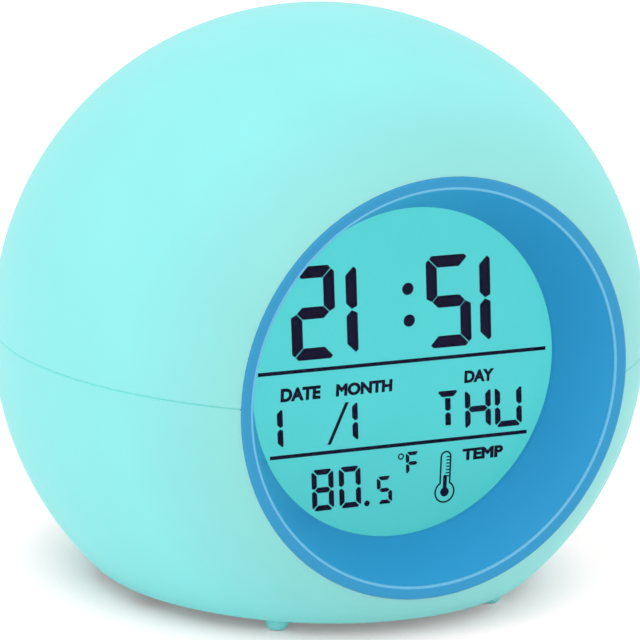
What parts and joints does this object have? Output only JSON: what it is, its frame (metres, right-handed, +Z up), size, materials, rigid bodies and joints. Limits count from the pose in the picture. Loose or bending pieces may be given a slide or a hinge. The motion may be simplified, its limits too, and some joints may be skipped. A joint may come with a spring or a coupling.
{
  "type": "kids alarm clock with night light",
  "caption": "Ball-shaped bedside alarm clock with a round recessed display, a translucent night light shell, rear keys and a battery door in its flat base.",
  "frame": {"origin": "middle of the footprint box, on the table that the feet stand on", "axes": "+Z up; the display faces -Y; +X to the right seen from the front"},
  "size_m": [0.1, 0.0892, 0.0886],
  "materials": {
    "shell": "satin translucent moulded plastic",
    "bezel": "satin moulded plastic",
    "window": "clear acrylic",
    "display": "lit liquid crystal display",
    "white_plastic": "satin",
    "black_plastic": "matt",
    "circuit_board": "lacquered board",
    "contact_rubber": "matt",
    "steel": "plated",
    "cell_sleeve": "gloss sleeve",
    "lead": "flat cable"
  },
  "bodies": {
    "case": {"upper_shell": "shell", "lower_shell": "shell", "shell_screws": "steel", "bezel": "bezel", "display_window": "window", "display_glass": "display", "light_guide": "window", "reflector_film": "white_plastic", "backlight_lamps": "white_plastic", "contact_strip": "contact_rubber", "main_board": "circuit_board", "controller_blob": "black_plastic", "board_parts": "black_plastic", "tap_sensor": "steel", "board_screws": "steel", "light_board": "white_plastic", "light_lamps": "white_plastic", "light_board_screws": "steel", "light_lead": "lead", "ribbon_lead": "lead", "ribbon_plugs": "white_plastic", "rear_panel": "shell", "key_board": "circuit_board", "key_switches": "black_plastic", "key_board_screws": "steel", "speaker": "black_plastic", "power_inlet": "steel", "cell_front": "cell_sleeve", "cell_middle": "cell_sleeve", "cell_rear": "cell_sleeve", "contact_plates": "steel", "contact_springs": "steel"},
    "mode_key": {"key_mode": "white_plastic"},
    "set_key": {"key_set": "white_plastic"},
    "light_key": {"key_light": "white_plastic"},
    "up_key": {"key_up": "white_plastic"},
    "down_key": {"key_down": "white_plastic"},
    "alarm_key": {"key_alarm": "white_plastic"},
    "door": {"battery_door": "shell"}
  },
  "joints": [
    {"name": "mode_press", "type": "slide", "parent": "case", "child": "mode_key", "axis": [0, -1, 0], "range_m": [0, 0.0005], "stiffness_N_per_m": 800},
    {"name": "set_press", "type": "slide", "parent": "case", "child": "set_key", "axis": [0, -1, 0], "range_m": [0, 0.0005], "stiffness_N_per_m": 800},
    {"name": "light_press", "type": "slide", "parent": "case", "child": "light_key", "axis": [0, -1, 0], "range_m": [0, 0.0005], "stiffness_N_per_m": 800},
    {"name": "up_press", "type": "slide", "parent": "case", "child": "up_key", "axis": [0, -1, 0], "range_m": [0, 0.0005], "stiffness_N_per_m": 800},
    {"name": "down_press", "type": "slide", "parent": "case", "child": "down_key", "axis": [0, -1, 0], "range_m": [0, 0.0005], "stiffness_N_per_m": 800},
    {"name": "alarm_press", "type": "slide", "parent": "case", "child": "alarm_key", "axis": [0, -1, 0], "range_m": [0, 0.0005], "stiffness_N_per_m": 800},
    {"name": "door_hinge", "type": "hinge", "parent": "case", "child": "door", "pos_m": [0, -0.02268, 0.0031], "axis": [-1, 0, 0], "range_deg": [0, 70]}
  ]
}
